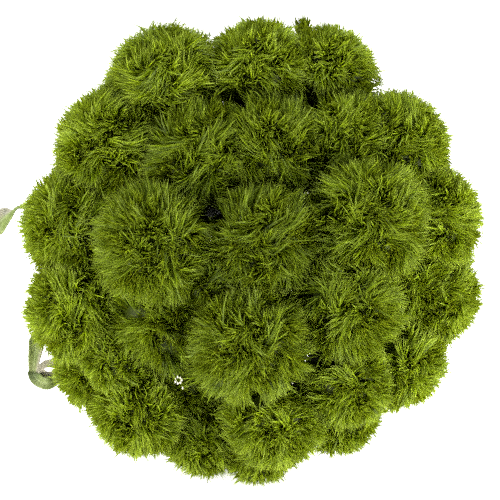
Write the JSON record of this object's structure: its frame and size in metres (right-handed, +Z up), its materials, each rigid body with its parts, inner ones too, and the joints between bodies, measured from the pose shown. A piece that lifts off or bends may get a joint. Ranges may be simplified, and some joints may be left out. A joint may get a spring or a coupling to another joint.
{
  "type": "cut sweet william",
  "caption": "Tied bunch of cut sweet william: round, moss-like green flower heads on long leafy stems, lying on its side.",
  "frame": {"origin": "middle of the bunch's footprint box, on the surface that it lies on", "axes": "+Z up; +Y along the stems towards their cut ends, so the heads face -Y and a little upwards; +X to the right, seen from the heads"},
  "size_m": [0.374, 0.4886, 0.3218],
  "materials": {
    "bracts": "fine matt fuzz of thread-like green bracts",
    "stem_and_leaf": "smooth satin plant skin, grey-green",
    "twine": "matt natural fibre"
  },
  "bodies": {
    "root": {"head_01": "bracts", "head_02": "bracts", "head_03": "bracts", "head_04": "bracts", "head_05": "bracts", "head_06": "bracts", "head_07": "bracts", "head_08": "bracts", "head_09": "bracts", "head_10": "bracts", "head_11": "bracts", "head_12": "bracts", "head_13": "bracts", "head_14": "bracts", "head_15": "bracts", "head_16": "bracts", "head_17": "bracts", "head_18": "bracts", "head_19": "bracts", "head_20": "bracts", "head_21": "bracts", "head_22": "bracts", "head_23": "bracts", "head_24": "bracts", "head_25": "bracts", "head_26": "bracts", "head_27": "bracts", "head_28": "bracts", "head_29": "bracts", "head_30": "bracts", "stem_01": "stem_and_leaf", "stem_02": "stem_and_leaf", "stem_03": "stem_and_leaf", "stem_04": "stem_and_leaf", "stem_05": "stem_and_leaf", "stem_06": "stem_and_leaf", "stem_07": "stem_and_leaf", "stem_08": "stem_and_leaf", "stem_10": "stem_and_leaf", "stem_12": "stem_and_leaf", "stem_13": "stem_and_leaf", "stem_14": "stem_and_leaf", "stem_16": "stem_and_leaf", "stem_17": "stem_and_leaf", "stem_18": "stem_and_leaf", "stem_19": "stem_and_leaf", "stem_20": "stem_and_leaf", "stem_21": "stem_and_leaf", "stem_22": "stem_and_leaf", "stem_23": "stem_and_leaf", "stem_24": "stem_and_leaf", "stem_25": "stem_and_leaf", "stem_26": "stem_and_leaf", "stem_27": "stem_and_leaf", "stem_28": "stem_and_leaf", "tie": "twine"}
  },
  "joints": []
}
